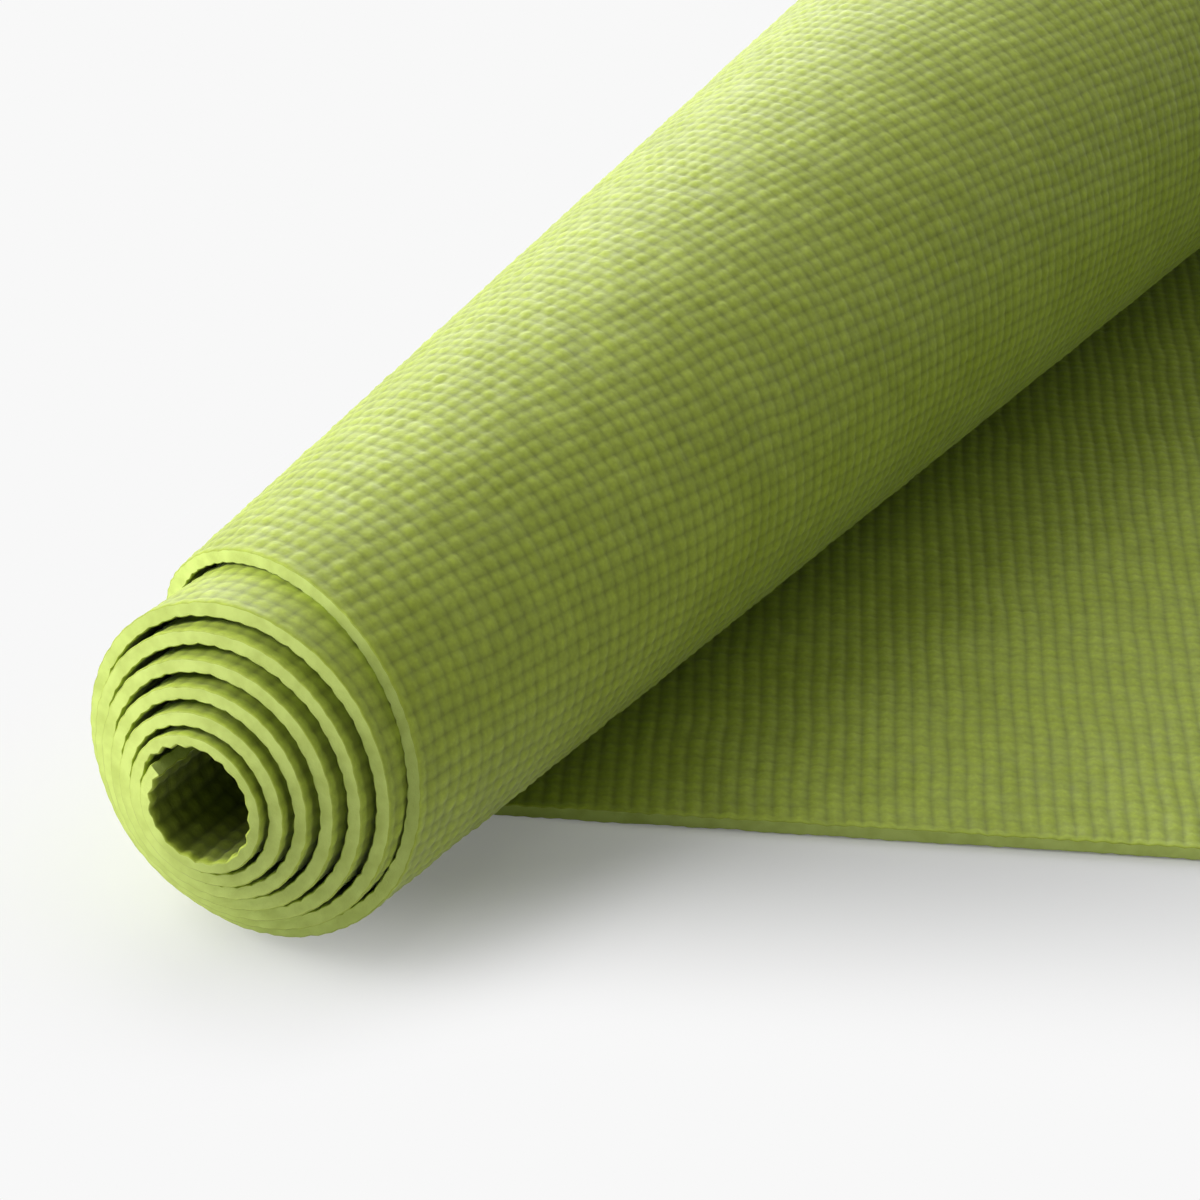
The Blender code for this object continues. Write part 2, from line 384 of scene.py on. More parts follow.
def tight_place(s, w, height):
    """Points of the tight roll, which goes on from where the outer wrap ends."""
    length = np.maximum((EDGE_TO_APEX + w) * math.tan(END_SKEW) - s, 0)
    start = TIGHT_RADIUS - CAD_THICKNESS / 2
    inside = np.maximum(start * start - TURN_PITCH * length / math.pi, 0)
    angle = FULL_TURN / TURN_PITCH * (start - np.sqrt(inside))
    turns = angle / FULL_TURN
    loose = LOOSE * smoothstep(turns, *LOOSE_START_TURNS)
    loose = loose * (1 - smoothstep(turns, *LOOSE_END_TURNS))
    radius = TIGHT_RADIUS + loose - TURN_PITCH * turns - height
    near_y = EDGE_TO_APEX / math.cos(END_SKEW) - TURN_PITCH * SLANT_TO_RADIUS
    sag = SAG_PER_TURN * turns
    x = -radius * np.sin(angle) + sag * SAG_DIRECTION[0]
    y = near_y + w / math.cos(END_SKEW) - length * math.tan(TIGHT_SKEW)
    z = TURN_PITCH * SLANT_TO_AXIS + TIGHT_RADIUS + loose - radius * np.cos(angle)
    return stacked(x, y, z + sag * SAG_DIRECTION[2])


def from_foot(s, w):
    """Distance from the line where the wrap meets the floor, above 0 on the flat part."""
    return s * ALONG[0] + (EDGE_TO_APEX + w) * ACROSS[0]


def place(s, w, height):
    """Points of the sheet, in the frame of the solids."""
    x = from_foot(s, w)
    y = s * ALONG[1] + (EDGE_TO_APEX + w) * ACROSS[1]
    swing = np.arctan2(-x, y)
    wound = np.where(swing[..., None] > WRAP_SWEEP, tight_place(s, w, height),
                     wrap_place(x, y, swing, height))
    return APEX + np.where(swing[..., None] > 0, wound, stacked(x, y, height))


def limits(s, w):
    """Heights of the sheet's underside and topside."""
    swell = smoothstep(from_foot(s, w), SWELL_FROM, SWELL_TO)
    off_floor = 1 - smoothstep(from_foot(s, w), LIFT_OFF, 0)
    return ROLLED_LOW * off_floor, ROLLED_HIGH + (FREE_HIGH - ROLLED_HIGH) * swell


def wound_share(s, w):
    """1 where the sheet is wound, falling to 0 where it lies free."""
    return 1 - smoothstep(from_foot(s, w), LIFT_OFF, SWELL_TO)


def swayed(s, w):
    """Places in the lattice, whose rows and columns aren't quite straight."""
    window = smoothstep(to_cut(s, w), 0, SWAY_FADE)
    return s + LATTICE_SWAY * ROW_SWAY(s, w) * window, w + LATTICE_SWAY * COLUMN_SWAY(s, w) * window


def set_back(s, w, share):
    """Places in the lattice, drawn in at the cut edges where the sheet is wound.

    Winding stretches the outer side of the sheet along the turn, so its width shrinks there
    and the cut edges lean outward. The share is 1 on the outer side and 0 on the inner side.
    """
    amount = share * EDGE_LEAN * wound_share(s, w)
    near = 1 - smoothstep(w, 0, LEAN_FADE)
    far = 1 - smoothstep(MAT_WIDTH - w, 0, LEAN_FADE)
    s, w = swayed(s, w)
    return s, w + amount * (near - far)


def outer_face(face, s, w):
    """The bumped face of a foam ply."""
    depth = relief(face, s, w) + rim_drop(to_cut(s, w))
    low, high = limits(s, w)
    if face == "underside":
        return place(*set_back(s, w, 1), low + depth)
    return place(*swayed(s, w), high - depth)


def collar(face, s, w):
    """A row of points in the foam, deeper than any pit, where a stretch of a ply ends."""
    low, high = limits(s, w)
    height = low + COLLAR if face == "underside" else high - COLLAR
    return place(*set_back(s, w, 0.5), height)


def middle_face(s, w, height):
    """A face at a height above the middle of the sheet."""
    low, high = limits(s, w)
    return place(*set_back(s, w, 0.5), (low + high) / 2 + height)


def inner_face(face, s, w):
    """The face of a foam ply next to the scrim. At the cut edges the two foams meet."""
    apart = (PLY_GAP + SCRIM_HALF) * np.clip(to_cut(s, w) / SCRIM_INSET, 0, 1)
    return middle_face(s, w, -apart if face == "underside" else apart)


def samples(start, stop, pitch, shift, zones, cut_start, cut_stop):
    """Places along one direction of the sheet, on the lattice, with a rim at a cut edge."""
    clear = LEAST_STEP_SHARE * pitch / DISTANT
    low = start + (RIM_RADIUS if cut_start else 0) + clear
    high = stop - (RIM_RADIUS if cut_stop else 0) - clear
    marks = [start, stop]
    for zone_start, zone_stop, per_bump in zones:
        step = pitch / per_bump
        first = math.ceil((max(zone_start, low) + shift) / step)
        last = math.floor((min(zone_stop, high) + shift) / step)
        marks += [step * k - shift for k in range(first, last + 1)]
    rim = [RIM_RADIUS * (1 - math.sin(math.radians(angle))) for angle in RIM_ANGLES]
    if cut_start:
        marks += [start + inset for inset in rim]
    if cut_stop:
        marks += [stop - inset for inset in rim]
    return np.unique(np.round(marks, DIGITS))


def row_samples(start, stop, per_bump, cut_start, cut_stop):
    """Places along the mat."""
    zones = [(start, stop, per_bump)]
    return samples(start, stop, ROW_PITCH, 0, zones, cut_start, cut_stop)


def column_samples(start, stop, zones, is_cut):
    """Places across the mat, with a rim at both ends where the edges are cut."""
    return samples(start, stop, COLUMN_PITCH, COLUMN_START, zones, is_cut, is_cut)


def grid_of(s, w):
    """Every place of s with every place of w, as two tables."""
    return np.meshgrid(s, w, indexing="ij")


def stitched(first, second, first_at, second_at):
    """Triangles between two rows of points that start and end together."""
    triangles, i, j = [], 0, 0
    while i < len(first) - 1 or j < len(second) - 1:
        at_end = j == len(second) - 1
        if at_end or (i < len(first) - 1 and first_at[i + 1] <= second_at[j + 1]):
            triangles.append((first[i], first[i + 1], second[j]))
            i += 1
        else:
            triangles.append((first[i], second[j + 1], second[j]))
            j += 1
    return triangles


def grid_quads(ids):
    """Quads between the points of a grid."""
    quads = np.stack((ids[:-1, :-1], ids[1:, :-1], ids[1:, 1:], ids[:-1, 1:]), axis=-1)
    return quads.reshape(-1, 4)


def wall_quads(outer, inner):
    """Quads between two rows of as many points."""
    return np.stack((outer[:-1], inner[:-1], inner[1:], outer[1:]), axis=-1)


def end_cap(outer, collar_ids, inner, columns, inner_columns):
    """Triangles of a shell's end, from the outer row over the collar to the inner row."""
    triangles = stitched(outer, collar_ids, columns, columns)
    triangles += stitched(collar_ids, inner, columns, inner_columns)
    return np.array([corners for corners in triangles if len(set(corners)) == 3])


def mesh_from(name, points, quads, triangles):
    """A smooth mesh, with its quads first and then its triangles."""
    corners = np.concatenate((quads.ravel(), triangles.ravel())).astype(np.int32)
    quad_starts = 4 * np.arange(len(quads))
    triangle_starts = 4 * len(quads) + 3 * np.arange(len(triangles))
    starts = np.concatenate((quad_starts, triangle_starts)).astype(np.int32)
    mesh = bpy.data.meshes.new(name)
    mesh.vertices.add(len(points))
    mesh.vertices.foreach_set("co", points.astype(np.float32).ravel())
    mesh.loops.add(len(corners))
    mesh.loops.foreach_set("vertex_index", corners)
    mesh.polygons.add(len(starts))
    mesh.polygons.foreach_set("loop_start", starts)
    mesh.update(calc_edges=True)
    mesh.shade_smooth()
    return mesh


def shell_mesh(name, outer, inner, collars, columns, inner_columns, flip):
    """A closed shell between an outer and an inner grid of points with the same rows.

    Returns the mesh, and how many quads are on its outer face and in its side walls, and how
    many triangles are in each end.
    """
    rows, width = outer.shape[:2]
    outer_ids = np.arange(rows * width).reshape(rows, -1)
    inner_ids = outer_ids.size + np.arange(rows * len(inner_columns)).reshape(rows, -1)
    free_id = outer_ids.size + inner_ids.size
    caps = []
    for k, row in enumerate((0, -1)):
        middle = free_id + k * (width - 2) + np.arange(width - 2)
        collar_ids = np.concatenate((outer_ids[row, :1], middle, outer_ids[row, -1:]))
        caps.append(end_cap(outer_ids[row], collar_ids, inner_ids[row], columns, inner_columns))
    top = grid_quads(outer_ids)
    walls = np.concatenate((wall_quads(outer_ids[:, 0], inner_ids[:, 0]),
                            wall_quads(outer_ids[:, -1], inner_ids[:, -1])[:, ::-1]))
    quads = np.concatenate((top, walls, grid_quads(inner_ids)[:, ::-1]))
    triangles = np.concatenate((caps[0], caps[1][:, ::-1]))
    if flip:
        quads, triangles = quads[:, ::-1], triangles[:, ::-1]
    points = np.concatenate((outer.reshape(-1, 3), inner.reshape(-1, 3),
                             collars[0][1:-1], collars[1][1:-1]))
    return mesh_from(name, points, quads, triangles), len(top), len(walls), len(caps[0])


def unit(vectors):
    """Vectors of length 1."""
    return vectors / np.linalg.norm(vectors, axis=-1)[..., None]


def row_normals(face, at, columns):
    """Normals of the unbroken surface along one row, turned outward on the rims."""
    step_s, step_w = ROW_PITCH / CLOSE, COLUMN_PITCH / CLOSE
    inside = np.clip(columns, step_w, MAT_WIDTH - step_w)
    slope_s = outer_face(face, at + step_s, inside) - outer_face(face, at - step_s, inside)
    slope_w = outer_face(face, at, inside + step_w) - outer_face(face, at, inside - step_w)
    normal = unit(np.cross(slope_s, slope_w)) * (-1 if face == "underside" else 1)
    edge = 1 - np.clip(to_cut(at, columns) / RIM_RADIUS, 0, 1)
    outward = unit(slope_w) * np.where(columns < MAT_WIDTH / 2, -1, 1)[:, None]
    return unit(normal * np.sqrt(1 - edge * edge)[:, None] + outward * edge[:, None])


def cut_face_normals(s, near):
    """Normals of a long cut edge, turned toward the roll's outer side where it is wound."""
    w = np.full(len(s), 0 if near else MAT_WIDTH)
    step = COLUMN_PITCH if near else -COLUMN_PITCH
    outward = unit(place(s, w, 0 * s) - place(s, w + step, 0 * s))
    to_underside = unit(place(s, w, 0 * s) - place(s, w, 0 * s + CAD_THICKNESS))
    turn = EDGE_TURN + WRAP_EDGE_TURN * smoothstep(s, *WRAP_EDGE_FROM)
    turn = turn * wound_share(s, w)
    return unit(outward * np.cos(turn)[:, None] + to_underside * np.sin(turn)[:, None])


def mesh_numbers(items, field, count):
    """A table of whole numbers, count of them for each item of a mesh."""
    numbers = np.zeros(len(items) * count, np.int32)
    items.foreach_get(field, numbers)
    return numbers


def shading_normals(mesh, face, s, columns, seam_rows, inner_width, outer_quads, walls):
    """Keeps the shading even across a seam, and gives the cut edges their soft turn.

    The row that two pieces share gets the normals of the unbroken surface, and sharp edges
    beside the hidden wall. Sharp edges also stand where the two foams meet in the cut edge.
    """
    width, outer_count = len(columns), len(s) * len(columns)
    corners = mesh_numbers(mesh.loops, "vertex_index", 1)
    pairs = mesh_numbers(mesh.edges, "vertices", 2).reshape(-1, 2)
    normals = np.zeros((len(corners), 3))
    sharp = (pairs >= outer_count).all(axis=1)
    on_outer_face = np.arange(len(corners)) < 4 * outer_quads
    for row in seam_rows:
        normal = row_normals(face, np.full(width, s[row]), columns)
        first, inner_first = row * width, outer_count + row * inner_width
        in_row = np.zeros(len(mesh.vertices), bool)
        in_row[first:first + width] = True
        seam = in_row[corners] & on_outer_face
        normals[seam] = normal[corners[seam] - first]
        in_row[inner_first:inner_first + inner_width] = True
        sharp |= in_row[pairs].all(axis=1)
    row_of = np.where(corners < outer_count, corners // width,
                      (corners - outer_count) // inner_width)
    for near, first in ((True, outer_quads), (False, outer_quads + walls // 2)):
        wall = slice(4 * first, 4 * (first + walls // 2))
        normals[wall] = cut_face_normals(s, near)[row_of[wall]]
        column = 0 if near else width - 1
        sharp |= ((pairs % width == column) & (pairs < outer_count)).all(axis=1)
    mesh.attributes.new("sharp_edge", "BOOLEAN", "EDGE").data.foreach_set("value", sharp)
    mesh.normals_split_custom_set(normals.tolist())


def bake_map(mesh, s, columns, inner_columns, outer_quads, wall_count):
    """A map for baked colours, whose parts don't overlap.

    The bumped face is in a few strips side by side, then come the walls and hidden faces.
    """
    folds = max(1, round(math.sqrt(MAT_WIDTH / max(s[-1] - s[0], SHORTEST_STRETCH))))
    corners = mesh_numbers(mesh.loops, "vertex_index", 1)
    width = len(columns) - 2
    vertex_s = np.concatenate((np.repeat(s, len(columns)), np.repeat(s, len(inner_columns)),
                               np.repeat(s[0], width), np.repeat(s[-1], width)))
    vertex_w = np.concatenate((np.tile(columns, len(s)), np.tile(inner_columns, len(s)),
                               columns[1:-1], columns[1:-1]))
    on_outer = corners < len(s) * len(columns)
    across = vertex_w[corners] / MAT_WIDTH
    along = (vertex_s[corners] - s[0]) / (s[-1] - s[0])
    uv = np.zeros((len(corners), 2))
    quads = 4 * outer_quads
    middle = across[:quads].reshape(-1, 4).mean(axis=1)
    strip = np.repeat(np.minimum((middle * folds).astype(int), folds - 1), 4)
    uv[:quads, 0] = (across[:quads] * folds - strip) * FACE_WIDTH + FACE_MARGIN
    uv[:quads, 1] = (strip + STRIP_MARGIN + (1 - 2 * STRIP_MARGIN) * along[:quads]) / folds
    walls = slice(quads, quads + 4 * wall_count)
    side = np.repeat((np.arange(wall_count) >= wall_count // 2).astype(float), 4)
    uv[walls, 0] = WALLS_AT + WALL_STEP * side + WALL_WIDTH * (~on_outer[walls])
    uv[walls, 1] = along[walls]
    hidden = slice(quads + 4 * wall_count, len(corners))
    uv[hidden, 0] = HIDDEN_AT + HIDDEN_WIDTH * across[hidden]
    uv[hidden, 1] = along[hidden]
    mesh.uv_layers.new(name="OFBake").data.foreach_set("uv", uv.astype(np.float32).ravel())


def mark_cut_faces(mesh, outer_quads, walls, end_triangles, cut_start, cut_stop):
    """Gives the walls, and the ends that are cut edges of the mat, the second material."""
    cut = np.zeros(len(mesh.polygons), np.int32)
    cut[outer_quads:outer_quads + walls] = 1
    if cut_start:
        cut[-2 * end_triangles:-end_triangles] = 1
    if cut_stop:
        cut[-end_triangles:] = 1
    mesh.polygons.foreach_set("material_index", cut)


def store_painted_shade(mesh, face, grid, in_bore):
    """Keeps half the painted shade of the grooves on the points, because with the painted shade of
    the bore it reaches 2.
    """
    tone = painted_shade_and_tone(face, *grid)
    if in_bore:
        # Painted shade in the bore, deeper away from its cut end
        tone = tone + BORE_SHADE * smoothstep(to_cut(*grid), *BORE_SHADE_REACH)
    shade = np.zeros(len(mesh.vertices), np.float32)
    shade[:tone.size] = tone.ravel() / 2
    mesh.attributes.new("groove", "FLOAT", "POINT").data.foreach_set("value", shade)


def add_object(name, data):
    """An object in the scene."""
    added = bpy.data.objects.new(name, data)
    bpy.context.scene.collection.objects.link(added)
    return added


def foam_piece(name, face, start, stop, rows_per_bump, zones, materials):
    """One stretch of a foam ply, over the full width of the mat."""
    cut_start, cut_stop = start <= INNER_END_S + MM, stop >= FREE_END_S - MM
    s = row_samples(start, stop, rows_per_bump, cut_start, cut_stop)
    columns = column_samples(0, MAT_WIDTH, zones + COARSELY, True)
    coarse = column_samples(0, MAT_WIDTH, COARSELY, False)
    inner_columns = np.unique(np.concatenate((coarse, (SCRIM_INSET, MAT_WIDTH - SCRIM_INSET))))
    grid = grid_of(s, columns)
    outer = outer_face(face, *grid)
    inner = inner_face(face, *grid_of(s, inner_columns))
    collars = [collar(face, np.full(len(columns), end), columns) for end in (s[0], s[-1])]
    mesh, outer_quads, walls, end_triangles = shell_mesh(
        name, outer, inner, collars, columns, inner_columns, flip=(face == "underside"))
    bake_map(mesh, s, columns, inner_columns, outer_quads, walls)
    for material in materials:
        mesh.materials.append(material)
    mark_cut_faces(mesh, outer_quads, walls, end_triangles, cut_start, cut_stop)
    store_painted_shade(mesh, face, grid, in_bore=(face == "topside" and start < BORE_S))
    seams = [row for row, is_cut in ((0, cut_start), (len(s) - 1, cut_stop)) if not is_cut]
    shading_normals(mesh, face, s, columns, seams, len(inner_columns), outer_quads, walls)
    return add_object(name, mesh)


def scrim_piece(name, start, stop, rows_per_bump, material):
    """A stretch of the woven cloth between the two foams, a little short of the edges."""
    s = row_samples(start, stop, rows_per_bump, False, False)
    columns = column_samples(SCRIM_INSET, MAT_WIDTH - SCRIM_INSET, COARSELY, False)
    grid = grid_of(s, columns)
    top = middle_face(*grid, SCRIM_HALF - PLY_GAP)
    base = middle_face(*grid, PLY_GAP - SCRIM_HALF)
    collars = ((top[0] + base[0]) / 2, (top[-1] + base[-1]) / 2)
    mesh, outer_quads, walls, _ = shell_mesh(
        name, top, base, collars, columns, columns, flip=False)
    bake_map(mesh, s, columns, columns, outer_quads, walls)
    mesh.materials.append(material)
    return add_object(name, mesh)


def foot_zones(start):
    """Zones of the underside where part of it is the wrap and the rest lies on the floor."""
    touch = max(start / math.tan(SHEET_SKEW) - EDGE_TO_APEX - FOOT_MARGIN, 0)
    view_end = max(touch, IN_VIEW_WIDTH)
    return [(touch, view_end, CLOSE), (view_end, MAT_WIDTH, DISTANT)]


def parts_of(start, stop, rows_per_bump, zones):
    """Boundaries that split a stretch so that no piece has too many triangles."""
    columns = column_samples(0, MAT_WIDTH, zones or foot_zones(start), True)
    rows = (stop - start) / ROW_PITCH * rows_per_bump
    count = math.ceil(rows * (len(columns) + HIDDEN_COLUMNS) * 2 / MOST_TRIANGLES)
    inside = [on_row(start + (stop - start) * k / count) for k in range(1, count)]
    return [start] + inside + [stop]


def attach(piece, ply, stop, is_bend):
    """Makes a piece move with its body, or fixes a piece of the bend in place, and lets it stand
    for its solid.
    """
    body = "rolled" if stop <= BEND_S + MM else "free_end"
    if is_bend:
        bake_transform(piece)
    else:
        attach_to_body(piece, body)
    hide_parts(body + "_" + ply)


def build_foams(materials):
    """Both foam plies, in stretches of no more than so many triangles."""
    for face, stretches in STRETCHES.items():
        for stretch, start, stop, rows_per_bump, zones in stretches:
            cuts = parts_of(start, stop, rows_per_bump, zones)
            for k, (low, high) in enumerate(zip(cuts, cuts[1:])):
                number = "_%d" % (k + 1) if len(cuts) > 2 else ""
                piece = foam_piece(face + "_foam_" + stretch + number, face, low, high,
                                   rows_per_bump, zones or foot_zones(low), materials)
                attach(piece, face + "_foam", high, stretch == "bend")


def build_scrim(material):
    """The scrim, in three stretches."""
    for name, start, stop, rows_per_bump in SCRIM_STRETCHES:
        piece = scrim_piece(name, start, stop, rows_per_bump, material)
        attach(piece, "scrim", stop, name == "scrim_bend")


def grey(value):
    """A grey with alpha 1."""
    return (value, value, value, 1)


# Colours of the mat
FOAM_COLOUR = (0.370, 0.462, 0.036, 1)
FOAM_PALE = (0.410, 0.508, 0.054, 1)
EDGE_COLOUR = (0.61, 0.735, 0.19, 1)
EDGE_DEEP = (0.50, 0.605, 0.135, 1)
SCRIM_COLOUR = (0.62, 0.66, 0.50, 1)

# Noises of the materials: cells for each metre, detail and seed
BROAD_NOISE = (45, 2, 3.1)
FINE_NOISE = (900, 3, 7.7)
ROUGH_NOISE = (300, 2, 1.3)
SKIN_NOISE = (1500, 4, 5.9)
EDGE_NOISE = (260, 3, 4.2)
PORE_NOISE = (2400, 2, 8.8)
SEED_SHIFT = (1, 0.37, 0.71)
THREADS_PER_METRE = 240

# Ramps of the materials: stops of place and colour
BROAD_RAMP = ((0.32, FOAM_COLOUR), (0.68, FOAM_PALE))
FINE_RAMP = ((0.30, grey(0.86)), (0.70, grey(1.08)))
# Painted highlight on the tops of the bumps, above 1, and painted shade in the grooves, darkest in
# the pits and the bore
SHADE_AND_HIGHLIGHT_RAMP = ((0.02, grey(1.14)), (0.22, grey(0.94)), (0.50, grey(0.56)), (1.0, grey(0.24)))
ROUGH_RAMP = ((0.3, grey(0.52)), (0.7, grey(0.66)))
EDGE_RAMP = ((0.30, EDGE_DEEP), (0.62, EDGE_COLOUR))
THREAD_RAMP = ((0.2, grey(0.75)), (0.8, grey(1.0)))

# Finishes that are the same all over a surface, and the strength and depth of its bump
FOAM_FINISH = {"Specular IOR Level": 0.4, "Sheen Weight": 0.15, "Sheen Roughness": 0.45}
EDGE_FINISH = {"Specular IOR Level": 0.25, "Roughness": 0.7}
SCRIM_FINISH = {"Roughness": 0.85}
SKIN_BUMP = (0.55, 0.12 * MM)
PORE_BUMP = (0.5, 0.10 * MM)


def new_material(name, finish):
    """A material, its node tree and its shader, with sockets set to a finish."""
    material = bpy.data.materials.new(name)
    material.use_nodes = True
    tree = material.node_tree
    shader = tree.nodes["Principled BSDF"]
    for socket, value in finish.items():
        shader.inputs[socket].default_value = value
    return material, tree, shader


def noise_node(tree, scale, detail, seed):
    """A noise texture in metres, a different one for each seed."""
    place_node = tree.nodes.new("ShaderNodeTexCoord")
    shift = tree.nodes.new("ShaderNodeMapping")
    shift.inputs["Location"].default_value = [seed * share for share in SEED_SHIFT]
    noise = tree.nodes.new("ShaderNodeTexNoise")
    noise.inputs["Scale"].default_value = scale
    noise.inputs["Detail"].default_value = detail
    tree.links.new(place_node.outputs["Object"], shift.inputs["Vector"])
    tree.links.new(shift.outputs["Vector"], noise.inputs["Vector"])
    return noise.outputs["Fac"]


def ramp_node(tree, source, stops):
    """The colour that a ramp of stops gives a source."""
    ramp = tree.nodes.new("ShaderNodeValToRGB")
    ramp.color_ramp.elements[0].position, ramp.color_ramp.elements[0].color = stops[0]
    ramp.color_ramp.elements[1].position, ramp.color_ramp.elements[1].color = stops[-1]
    for position, colour in stops[1:-1]:
        ramp.color_ramp.elements.new(position).color = colour
    tree.links.new(source, ramp.inputs["Fac"])
    return ramp.outputs["Color"]


def product_node(tree, first, second):
    """The product of two colours, each a socket or a colour."""
    mix = tree.nodes.new("ShaderNodeMix")
    mix.data_type = "RGBA"
    mix.blend_type = "MULTIPLY"
    mix.inputs["Factor"].default_value = 1
    for value, socket in ((first, mix.inputs["A"]), (second, mix.inputs["B"])):
        if isinstance(value, bpy.types.NodeSocket):
            tree.links.new(value, socket)
        else:
            socket.default_value = value
    return mix.outputs["Result"]


def add_bump(tree, shader, height, strength, distance):
    """Fine bump over the whole surface."""
    bump = tree.nodes.new("ShaderNodeBump")
    bump.inputs["Strength"].default_value = strength
    bump.inputs["Distance"].default_value = distance
    tree.links.new(height, bump.inputs["Height"])
    tree.links.new(bump.outputs["Normal"], shader.inputs["Normal"])


def attribute_node(tree, name):
    """A number kept on the points of a mesh."""
    attribute = tree.nodes.new("ShaderNodeAttribute")
    attribute.attribute_name = name
    return attribute.outputs["Fac"]


def foam_material():
    """Bumped foam: broad tone variation, fine mottling, painted shade in the grooves and the bore,
    and a painted highlight on the tops of the bumps.
    """
    material, tree, shader = new_material("foam_face", FOAM_FINISH)
    broad = ramp_node(tree, noise_node(tree, *BROAD_NOISE), BROAD_RAMP)
    fine = ramp_node(tree, noise_node(tree, *FINE_NOISE), FINE_RAMP)
    # Painted shade and highlight, from the tone kept on the points
    depth = ramp_node(tree, attribute_node(tree, "groove"), SHADE_AND_HIGHLIGHT_RAMP)
    colour = product_node(tree, product_node(tree, broad, fine), depth)
    tree.links.new(colour, shader.inputs["Base Color"])
    rough = ramp_node(tree, noise_node(tree, *ROUGH_NOISE), ROUGH_RAMP)
    tree.links.new(rough, shader.inputs["Roughness"])
    add_bump(tree, shader, noise_node(tree, *SKIN_NOISE), *SKIN_BUMP)
    return material


def edge_material():
    """Cut foam: paler, with fine open pores."""
    material, tree, shader = new_material("foam_cut_edge", EDGE_FINISH)
    tone = ramp_node(tree, noise_node(tree, *EDGE_NOISE), EDGE_RAMP)
    tree.links.new(tone, shader.inputs["Base Color"])
    add_bump(tree, shader, noise_node(tree, *PORE_NOISE), *PORE_BUMP)
    return material


def scrim_material():
    """Woven cloth: pale threads side by side."""
    material, tree, shader = new_material("woven_scrim", SCRIM_FINISH)
    place_node = tree.nodes.new("ShaderNodeTexCoord")
    wave = tree.nodes.new("ShaderNodeTexWave")
    wave.inputs["Scale"].default_value = THREADS_PER_METRE
    tree.links.new(place_node.outputs["Object"], wave.inputs["Vector"])
    tone = ramp_node(tree, wave.outputs["Fac"], THREAD_RAMP)
    tree.links.new(product_node(tree, SCRIM_COLOUR, tone), shader.inputs["Base Color"])
    return material


# Floor and background. Where the camera sees the floor, the plain background glows in it,
# with the least share close to the mat, where the contact shadow is. The glow starts farther
# out beside the roll, whose turns stand out over its foot, and closer in along the flat part.
FLOOR_REACH = 6.0
FLOOR_NEAR = 0.9
FLOOR_CELL = 0.0075
FLOOR_COLOUR = 0.85
FLOOR_FINISH = {"Base Color": grey(FLOOR_COLOUR), "Roughness": 0.9, "Specular IOR Level": 0.1}
BACKGROUND = 0.939
LEAST_GLOW = 0.15
GLOW_REACH = (0.005, 0.085)
TURNS_STAND_OUT = 0.014
EDGE_STANDS_BACK = 0.011
ROLL_END_REACH = (0.020, 0.060)


def seen_rays(tree):
    """1 for the rays of the camera and of reflections, which see the plain background."""
    path = tree.nodes.new("ShaderNodeLightPath")
    total = path.outputs["Is Camera Ray"]
    for kind in ("Is Glossy Ray", "Is Transmission Ray"):
        add = tree.nodes.new("ShaderNodeMath")
        add.operation = "ADD"
        add.use_clamp = True
        tree.links.new(total, add.inputs[0])
        tree.links.new(path.outputs[kind], add.inputs[1])
        total = add.outputs["Value"]
    return total


def link_mixed(tree, share, first, second, output):
    """Sends a mix of two shaders to an output node, where a share of 1 is all the second."""
    mix = tree.nodes.new("ShaderNodeMixShader")
    tree.links.new(share, mix.inputs["Fac"])
    tree.links.new(first, mix.inputs[1])
    tree.links.new(second, mix.inputs[2])
    tree.links.new(mix.outputs["Shader"], tree.nodes[output].inputs["Surface"])


def floor_glow(x, y):
    """The background's share in the floor: little beside the mat, all of it farther off."""
    from_apex = stacked(x - APEX[0], y - APEX[1], 0)
    beyond_near_edge = from_apex @ ACROSS - EDGE_TO_APEX
    beyond_free_end = np.maximum(from_apex @ ALONG - FREE_END_S, 0)
    beside_roll = np.maximum(-from_apex[..., 0], 0)
    beside_edge = np.maximum(np.maximum(-beyond_near_edge, beyond_near_edge - MAT_WIDTH), 0)
    distance = np.sqrt(beside_roll ** 2 + beside_edge ** 2 + beyond_free_end ** 2)
    past_roll = smoothstep(from_apex[..., 0], *ROLL_END_REACH)
    distance = distance - TURNS_STAND_OUT * (1 - past_roll) + EDGE_STANDS_BACK * past_roll
    return LEAST_GLOW + (1 - LEAST_GLOW) * smoothstep(distance, *GLOW_REACH)


def floor_mesh():
    """A square floor with small cells near the mat, and the glow's share on its points."""
    mesh = bpy.data.meshes.new("floor")
    near = np.arange(-FLOOR_NEAR, FLOOR_NEAR + FLOOR_CELL / 2, FLOOR_CELL)
    marks = np.concatenate(([-FLOOR_REACH], near, [FLOOR_REACH]))
    x, y = grid_of(marks, marks)
    quads = grid_quads(np.arange(x.size).reshape(x.shape))
    mesh.from_pydata(stacked(x, y, 0).reshape(-1, 3).tolist(), [], quads.tolist())
    glow = floor_glow(x, y).ravel().astype(np.float32)
    mesh.attributes.new("glow", "FLOAT", "POINT").data.foreach_set("value", glow)
    return mesh


def floor_material():
    """Matt pale paint, and the background's glow where it is seen."""
    material, tree, shader = new_material("floor_paint", FLOOR_FINISH)
    glow = tree.nodes.new("ShaderNodeEmission")
    glow.inputs["Color"].default_value = grey(BACKGROUND)
    share = tree.nodes.new("ShaderNodeMath")
    share.operation = "MULTIPLY"
    tree.links.new(seen_rays(tree), share.inputs[0])
    tree.links.new(attribute_node(tree, "glow"), share.inputs[1])
    link_mixed(tree, share.outputs["Value"], shader.outputs["BSDF"], glow.outputs["Emission"],
               "Material Output")
    return material


def build_floor():
    """A plain pale floor that keeps the object's shadow."""
    floor = add_object("floor", floor_mesh())
    floor.data.materials.append(floor_material())


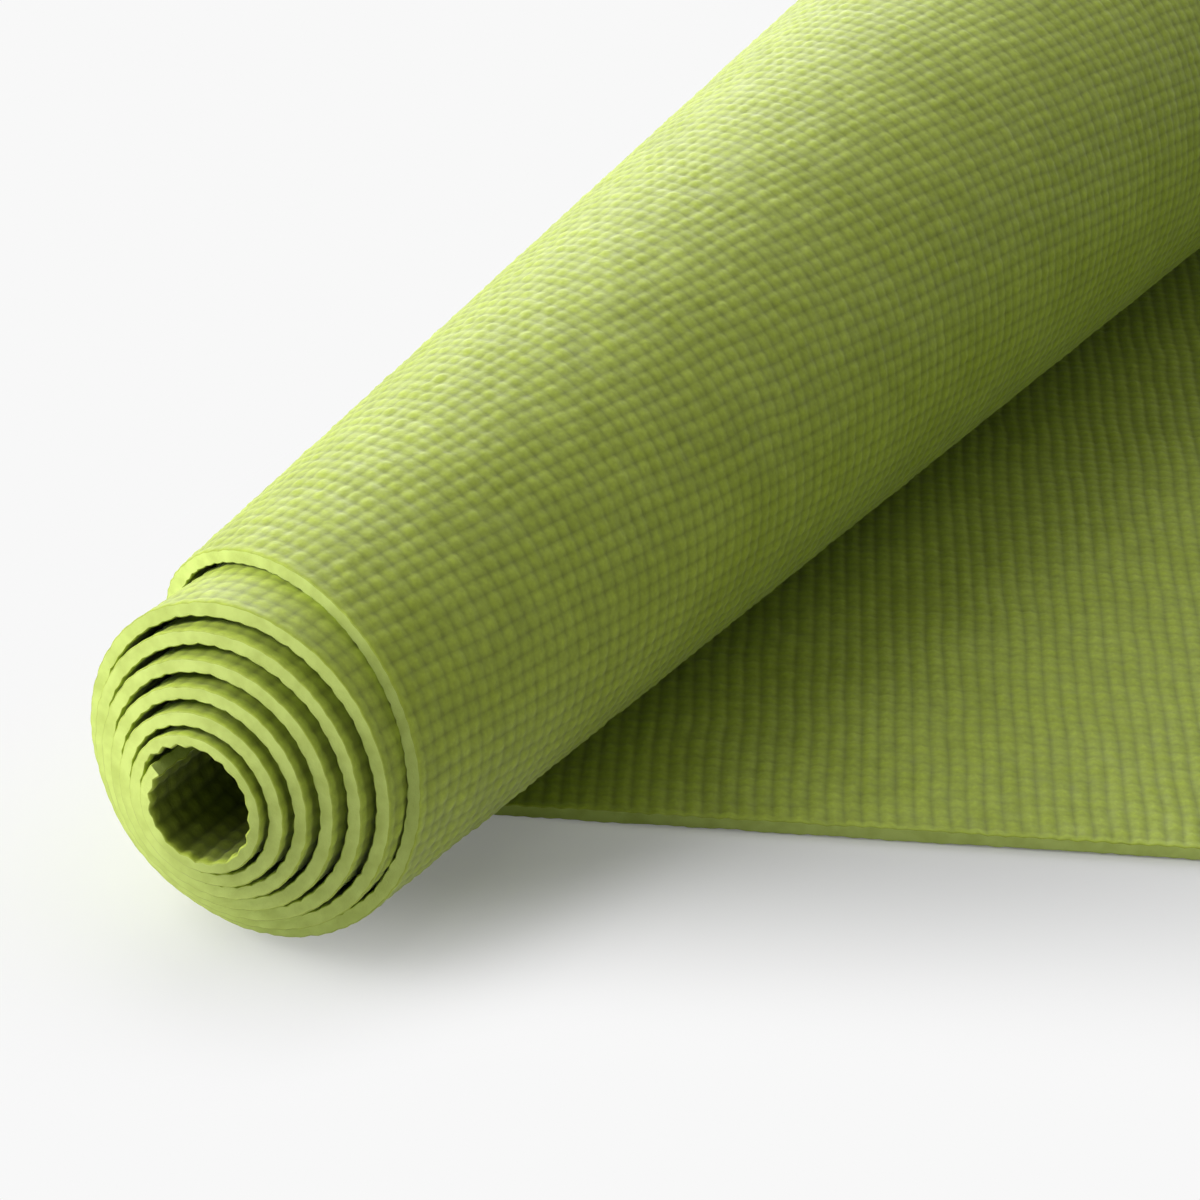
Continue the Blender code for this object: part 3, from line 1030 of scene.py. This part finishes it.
# Soft light: an even fill from all around, and lamps at one distance from a point of the mat
FILL_COLOUR = (0.94, 0.97, 1.0, 1)
FILL_STRENGTH = 0.06
LIT_POINT = Vector((-0.25, -0.2, 0.05))
LAMP_DISTANCE = 2.5

# Each lamp: its name, its direction from that point, its size in metres and power in watts
LAMPS = (
    ("left_front", (-0.86, -0.48, 0.35), 1.2, 48),
    ("left_front_high", (-0.45, -0.55, 0.70), 1.8, 22),
    ("left_back", (-0.60, 0.76, 0.32), 1.5, 29),
    ("left_high", (-0.50, 0.50, 0.72), 1.8, 19),
    ("above", (0.05, 0.45, 0.95), 1.8, 8),
    ("right_high", (0.60, 0.10, 0.80), 1.8, 4.0),
)


def build_world():
    """The plain background where it is seen, and a soft fill for the rest."""
    world = bpy.data.worlds.new("studio")
    bpy.context.scene.world = world
    world.use_nodes = True
    tree = world.node_tree
    light = tree.nodes["Background"]
    light.inputs["Color"].default_value = FILL_COLOUR
    light.inputs["Strength"].default_value = FILL_STRENGTH
    seen = tree.nodes.new("ShaderNodeBackground")
    seen.inputs["Color"].default_value = grey(BACKGROUND)
    link_mixed(tree, seen_rays(tree), light.outputs["Background"], seen.outputs["Background"],
               "World Output")


def add_lamp(name, direction, size, power):
    """A square soft lamp that shines on the mat."""
    data = bpy.data.lights.new(name, "AREA")
    data.shape = "SQUARE"
    data.size = size
    data.energy = power
    lamp = add_object(name, data)
    toward = Vector(direction).normalized()
    lamp.location = LIT_POINT + toward * LAMP_DISTANCE
    lamp.rotation_euler = toward.to_track_quat("Z", "Y").to_euler()


def build_camera():
    """The photograph's camera."""
    level = Vector((-math.sin(CAMERA_AZIMUTH), math.cos(CAMERA_AZIMUTH), 0))
    down = Vector((0, 0, -1))
    look = level * math.cos(CAMERA_ELEVATION) + down * math.sin(CAMERA_ELEVATION)
    right = Vector((math.cos(CAMERA_AZIMUTH), math.sin(CAMERA_AZIMUTH), 0))
    up = right.cross(look)
    right_turned = math.cos(CAMERA_ROLL) * right + math.sin(CAMERA_ROLL) * up
    up_turned = -math.sin(CAMERA_ROLL) * right + math.cos(CAMERA_ROLL) * up
    data = bpy.data.cameras.new("camera")
    data.lens = CAMERA_LENS
    data.sensor_width = CAMERA_SENSOR
    camera = add_object("camera", data)
    turn = Matrix((right_turned, up_turned, -look)).transposed().to_4x4()
    camera.matrix_world = Matrix.Translation(CAMERA_TARGET - look * CAMERA_DISTANCE) @ turn
    bpy.context.scene.camera = camera


build_foams((foam_material(), edge_material()))
build_scrim(scrim_material())
build_floor()
build_world()
for lamp_name, lamp_direction, lamp_size, lamp_power in LAMPS:
    add_lamp(lamp_name, lamp_direction, lamp_size, lamp_power)
build_camera()
bpy.context.scene.view_settings.view_transform = "Standard"
